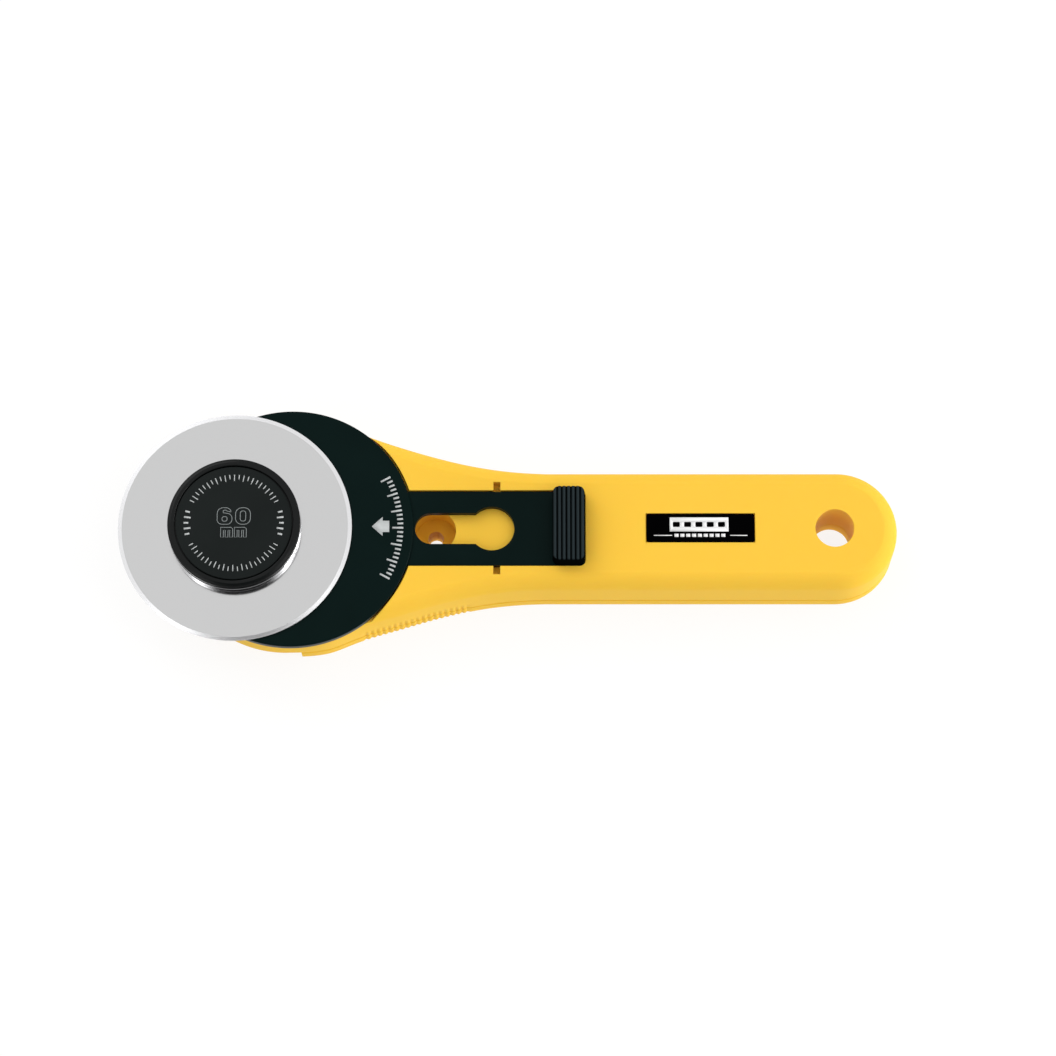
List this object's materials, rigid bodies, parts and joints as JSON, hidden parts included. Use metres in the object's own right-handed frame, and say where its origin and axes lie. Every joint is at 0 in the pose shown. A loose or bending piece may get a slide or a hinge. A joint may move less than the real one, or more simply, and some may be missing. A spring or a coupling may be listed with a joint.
{
  "type": "rotary cutter",
  "caption": "Rotary cutter: round blade on a clamp bolt, disc-shaped blade cover sliding in the handle's channel by a ridged thumb grip, two-piece handle with a hanging hole.",
  "frame": {"origin": "middle of the cutter's bounding box at the level of its flat back, as it lies on a table", "axes": "+X from the blade to the tail of the handle, +Z out of the front face along the blade's axis, +Y to the side without finger ribs"},
  "size_m": [0.2002, 0.0626, 0.0254],
  "materials": {
    "yellow_plastic": "satin moulded plastic",
    "black_plastic": "satin moulded plastic",
    "label_black": "printed plate",
    "blade_steel": "ground satin, bright bevelled edge",
    "chrome": "polished",
    "spring_steel": "plain",
    "brass": "turned"
  },
  "bodies": {
    "handle": {"handle_body": "yellow_plastic", "handle_back_cover": "yellow_plastic", "label_plate": "label_black", "bolt": "chrome", "bolt_cap_ring": "black_plastic", "bolt_cap_disc": "black_plastic"},
    "cover": {"blade_cover": "black_plastic", "thumb_grip": "black_plastic"},
    "blade": {"rotary_blade": "blade_steel"},
    "washer": {"spring_washer": "spring_steel"},
    "nut": {"nut_knob": "black_plastic", "nut_insert": "brass"}
  },
  "joints": [
    {"name": "cover_slide", "type": "slide", "parent": "handle", "child": "cover", "axis": [-1, 0, 0], "range_m": [0, 0.0145]},
    {"name": "blade_spin", "type": "hinge", "parent": "handle", "child": "blade", "pos_m": [-0.0701, 0, 0.02055], "axis": [0, 0, 1], "continuous": true},
    {"name": "washer_slide", "type": "slide", "parent": "handle", "child": "washer", "axis": [0, 0, -1], "range_m": [0, 0.004]},
    {"name": "nut_turn", "type": "hinge", "parent": "washer", "child": "nut", "pos_m": [-0.0701, 0, 0.004], "axis": [0, 0, -1], "range_deg": [0, 1440]}
  ],
  "couplings": [
    {"joint": "washer_slide", "follows": "nut_turn", "m_per_rad": 0.000159}
  ]
}
